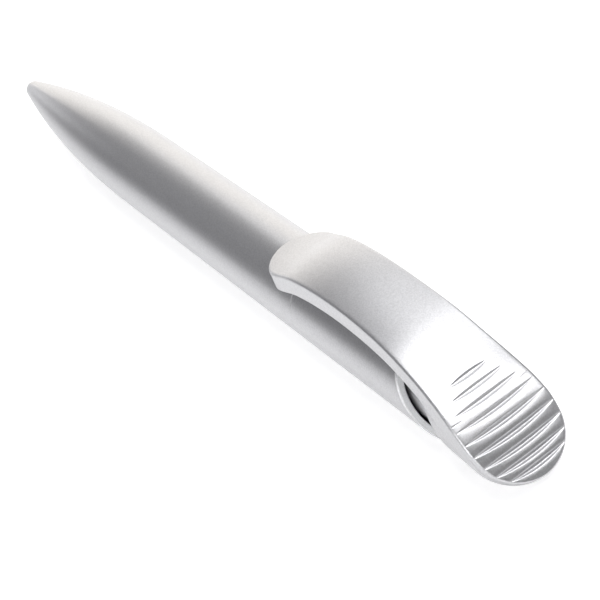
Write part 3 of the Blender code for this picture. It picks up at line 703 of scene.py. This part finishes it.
# The marks of drawing run along the wire, so they too go round the pen's axis
spring_steel = drawn_metal("spring_steel_wire", "B4B4B6", 0.28, drawn_line_gap)
spring_coil = piece_from(coil, "spring_coil", spring_steel, "front", sharp=60)
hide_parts("return_spring")
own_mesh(spring_coil)


# Studio: a wide white floor in a grey room, with soft lamps above, behind and beside the pen and a
# black card, so that the silver lacquer shows both white and grey.

floor_half = 1.2
white_light = linear("FFFFFF")
room_light = (0.245, 0.245, 0.255, 1.0)


def studio_sheet(name, half_length, half_width, tilt, place, material):
    """A flat piece of the studio, tilted about the Y axis."""
    bm = bmesh.new()
    bmesh.ops.create_grid(bm, x_segments=1, y_segments=1, size=1.0)
    bmesh.ops.scale(bm, vec=(half_length, half_width, 1.0), verts=bm.verts)
    bmesh.ops.rotate(bm, matrix=Matrix.Rotation(tilt, 3, "Y"), verts=bm.verts)
    bmesh.ops.translate(bm, vec=place, verts=bm.verts)
    mesh = bpy.data.meshes.new(name)
    bm.to_mesh(mesh)
    bm.free()
    mesh.materials.append(material)
    sheet = bpy.data.objects.new(name, mesh)
    bpy.context.scene.collection.objects.link(sheet)
    return sheet


floor_paint, floor_shader = plastic("floor_white_gloss", "F4F4F4", 0.25)
# The floor looks brighter to the camera, and a little brighter in the lacquer, than the lamps make
# it. The glow is weaker near the pen, where the pen's faint shadow lies.
near_glow, far_glow = 0.50, 0.90
fade_from, fade_to = 0.15, 0.55
lacquer_glow = 0.36
floor_place = add_node(floor_paint, "ShaderNodeTexCoord")
away = add_node(floor_paint, "ShaderNodeVectorMath", {"operation": "LENGTH"},
                [("Vector", floor_place, "Object")])
fade = add_node(floor_paint, "ShaderNodeMapRange",
                {"From Min": fade_from, "From Max": fade_to, "To Min": near_glow, "To Max": far_glow},
                [("Value", away, "Value")])
floor_ray = add_node(floor_paint, "ShaderNodeLightPath")
seen = add_node(floor_paint, "ShaderNodeMath", {"operation": "MULTIPLY"})
glow = add_node(floor_paint, "ShaderNodeMath", {"operation": "MULTIPLY_ADD"})
glow.inputs[1].default_value = lacquer_glow
floor_links = floor_paint.node_tree.links
floor_links.new(floor_ray.outputs["Is Camera Ray"], seen.inputs[0])
floor_links.new(fade.outputs["Result"], seen.inputs[1])
floor_links.new(floor_ray.outputs["Is Glossy Ray"], glow.inputs[0])
floor_links.new(seen.outputs[0], glow.inputs[2])
floor_links.new(glow.outputs[0], floor_shader.inputs["Emission Strength"])
floor_shader.inputs["Emission Color"].default_value = white_light
studio_sheet("studio_floor", floor_half, floor_half, 0.0, (0.0, 0.0, 0.0), floor_paint)


def softbox(name, place, aim, width, height, radiance, tint="FFFFFF"):
    """A rectangular soft lamp that faces a point and has a set radiance."""
    data = bpy.data.lights.new(name, "AREA")
    data.shape = "RECTANGLE"
    data.size, data.size_y = width, height
    data.energy = radiance * math.pi * width * height
    data.color = linear(tint)[:3]
    item = bpy.data.objects.new(name, data)
    item.location = place
    item.rotation_euler = (Vector(aim) - Vector(place)).to_track_quat("-Z", "Y").to_euler()
    item.visible_camera = False
    bpy.context.scene.collection.objects.link(item)


# The overhead lamp fades towards the pen's nose in two steps, which gives the blade a soft highlight.
# The far lamp is a little warm, the left and strip lamps light the mouth, and the low lamp the nose.
softbox("overhead_softbox", (0.252, 0.16, 0.60), (0.05, 0.0, 0.0), 0.30, 0.66, 3.9)
softbox("bridge_softbox", (-0.02, 0.15, 0.60), (0.05, 0.0, 0.0), 0.24, 0.64, 1.7)
softbox("step_softbox", (-0.20, 0.13, 0.60), (0.05, 0.0, 0.0), 0.13, 0.60, 0.6)
softbox("back_softbox", (-0.34, 0.36, 0.52), (0.03, 0.0, 0.0), 0.60, 0.50, 0.90, "FCFCFC")
softbox("far_softbox", (-0.90, 0.50, 0.22), (0.0, 0.0, 0.0), 1.0, 0.45, 1.45, "FFFAF2")
softbox("left_softbox", (0.45, -0.45, 0.35), (0.05, 0.0, 0.0), 0.45, 0.35, 3.3)
softbox("strip_softbox", (0.18, -0.615, 0.31), (0.05, 0.0, 0.0), 0.15, 0.62, 2.2)
softbox("low_softbox", (-0.910, -0.073, 0.112), (-0.07, 0.0, 0.006), 0.30, 0.20, 1.2)

# A black card beside the overhead lamp darkens what the grooved end of the clip reflects
card_half_length = 0.28
card_half_width = 0.392
card_tilt = math.radians(40)
card_place = (0.66, 0.17, 0.50)
card_paint, _ = plastic("card_black_matt", "101010", 0.9)
card = studio_sheet("black_card", card_half_length, card_half_width, card_tilt, card_place, card_paint)
card.visible_camera = False

# The room is grey in the lacquer and as light, and the camera sees plain white beyond the floor
world = bpy.data.worlds.new("studio_surround")
bpy.context.scene.world = world
world.use_nodes = True
tree = world.node_tree
wall = tree.nodes["Background"]
wall.inputs["Color"].default_value = room_light
wall.inputs["Strength"].default_value = 1.0
white = add_node(world, "ShaderNodeBackground", {"Color": white_light})
ray = add_node(world, "ShaderNodeLightPath")
choice = add_node(world, "ShaderNodeMixShader", links=[("Fac", ray, "Is Camera Ray")])
tree.links.new(wall.outputs["Background"], choice.inputs[1])
tree.links.new(white.outputs["Background"], choice.inputs[2])
tree.links.new(choice.outputs["Shader"], tree.nodes["World Output"].inputs["Surface"])


# Camera: at the photograph's angle, above and behind the thumb button, looking down the pen. Its
# place and turn come from fitting the pen's outline.

camera_data = bpy.data.cameras.new("camera")
camera_data.sensor_width = 36.0
camera_data.lens = 118.7
camera = bpy.data.objects.new("camera", camera_data)
camera_place = Vector((0.290955 + nose_x, -0.058058, 0.137441 + axis_z))
right = Vector((0.48360, 0.79124, -0.37427))
up = Vector((-0.35547, 0.56829, 0.74208))
back = Vector((0.79986, -0.22583, 0.55609))
turn = Matrix((right, up, back)).transposed()
camera.matrix_world = Matrix.Translation(camera_place) @ turn.to_4x4()
bpy.context.scene.collection.objects.link(camera)
bpy.context.scene.camera = camera
bpy.context.scene.view_settings.view_transform = "Standard"
